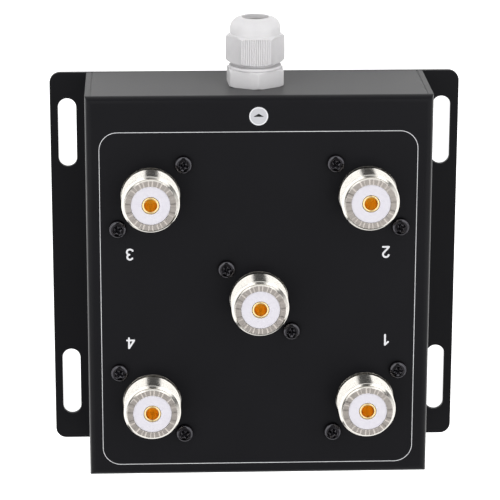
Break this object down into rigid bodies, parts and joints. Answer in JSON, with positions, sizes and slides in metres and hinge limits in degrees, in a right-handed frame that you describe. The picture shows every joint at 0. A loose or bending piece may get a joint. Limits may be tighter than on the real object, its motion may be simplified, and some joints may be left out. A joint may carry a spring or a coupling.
{
  "type": "coaxial antenna switch",
  "caption": "Relay box that connects one coaxial socket to one of several others, with a cable gland for control wires and slotted ears for wall fixing.",
  "frame": {"origin": "middle of the back plate's rear face, which lies on the wall", "axes": "+Z out of the socket panel, +X towards the wall with the cable gland, +Y across the box"},
  "size_m": [0.1289, 0.1164, 0.0428],
  "materials": {
    "black_sheet": "matt black powder coat on folded sheet",
    "nickel": "bright nickel plating",
    "white_insulator": "white fluoropolymer, turned",
    "gold_contact": "gold flash on slit bronze",
    "black_screw": "black zinc, pan head",
    "zinc_steel": "bright zinc plating",
    "grey_nylon": "light grey moulded nylon",
    "dark_rubber": "moulded rubber",
    "board_laminate": "glass-epoxy board with solder mask",
    "relay_case": "moulded relay case",
    "black_moulding": "black moulding compound",
    "relay_iron": "plated soft iron",
    "bobbin_nylon": "white moulded nylon",
    "copper_wire": "enamelled copper wire",
    "tinned_metal": "tinned pins",
    "contact_bronze": "bronze strip with silver rivets",
    "capacitor_ceramic": "ceramic chip",
    "terminal_green": "green moulded terminal block"
  },
  "bodies": {
    "housing": {"cover": "black_sheet", "back_plate": "black_sheet", "cover_screws": "black_screw", "clinch_nuts": "zinc_steel", "socket_screws": "black_screw", "socket_nuts": "zinc_steel", "board_spacers": "nickel", "board_screws": "zinc_steel", "circuit_board": "board_laminate", "relay_bases": "black_moulding", "relay_cases": "relay_case", "relay_yokes": "relay_iron", "relay_cores": "relay_iron", "relay_bobbins": "bobbin_nylon", "relay_windings": "copper_wire", "relay_coil_pins": "tinned_metal", "relay_open_contacts": "contact_bronze", "relay_closed_contacts": "contact_bronze", "diodes": "black_moulding", "capacitors": "capacitor_ceramic", "terminal_housing": "terminal_green", "terminal_clamps": "tinned_metal", "terminal_screws": "zinc_steel", "gland_body": "grey_nylon", "gland_gasket": "dark_rubber", "gland_locknut": "grey_nylon", "common_port_shell": "nickel", "common_port_insulator": "white_insulator", "common_port_contact": "gold_contact", "port_1_shell": "nickel", "port_1_insulator": "white_insulator", "port_1_contact": "gold_contact", "port_2_shell": "nickel", "port_2_insulator": "white_insulator", "port_2_contact": "gold_contact", "port_3_shell": "nickel", "port_3_insulator": "white_insulator", "port_3_contact": "gold_contact", "port_4_shell": "nickel", "port_4_insulator": "white_insulator", "port_4_contact": "gold_contact"},
    "gland_seal": {"gland_seal": "dark_rubber"},
    "gland_dome_nut": {"gland_dome_nut": "grey_nylon"},
    "armature_1": {"relay_armature_1": "relay_iron", "contact_spring_1": "contact_bronze"},
    "armature_2": {"relay_armature_2": "relay_iron", "contact_spring_2": "contact_bronze"},
    "armature_3": {"relay_armature_3": "relay_iron", "contact_spring_3": "contact_bronze"},
    "armature_4": {"relay_armature_4": "relay_iron", "contact_spring_4": "contact_bronze"}
  },
  "joints": [
    {"name": "seal_travel", "type": "slide", "parent": "housing", "child": "gland_seal", "axis": [1, 0, 0], "range_m": [-0.00076, 0.00381]},
    {"name": "dome_nut_turn", "type": "hinge", "parent": "gland_seal", "child": "gland_dome_nut", "pos_m": [0.055, 0.0006, 0.0169], "axis": [1, 0, 0], "range_deg": [-216.5, 1080.5]},
    {"name": "armature_1_hinge", "type": "hinge", "parent": "housing", "child": "armature_1", "pos_m": [-0.0122, -0.015, 0.01124], "axis": [0, 1, 0], "range_deg": [0, 4], "stiffness_Nm_per_rad": 0.002},
    {"name": "armature_2_hinge", "type": "hinge", "parent": "housing", "child": "armature_2", "pos_m": [0.0062, -0.015, 0.01124], "axis": [0, -1, 0], "range_deg": [0, 4], "stiffness_Nm_per_rad": 0.002},
    {"name": "armature_3_hinge", "type": "hinge", "parent": "housing", "child": "armature_3", "pos_m": [0.0062, 0.015, 0.01124], "axis": [0, -1, 0], "range_deg": [0, 4], "stiffness_Nm_per_rad": 0.002},
    {"name": "armature_4_hinge", "type": "hinge", "parent": "housing", "child": "armature_4", "pos_m": [-0.0122, 0.015, 0.01124], "axis": [0, 1, 0], "range_deg": [0, 4], "stiffness_Nm_per_rad": 0.002}
  ],
  "couplings": [
    {"joint": "dome_nut_turn", "follows": "seal_travel", "rad_per_m": 4947.4}
  ]
}
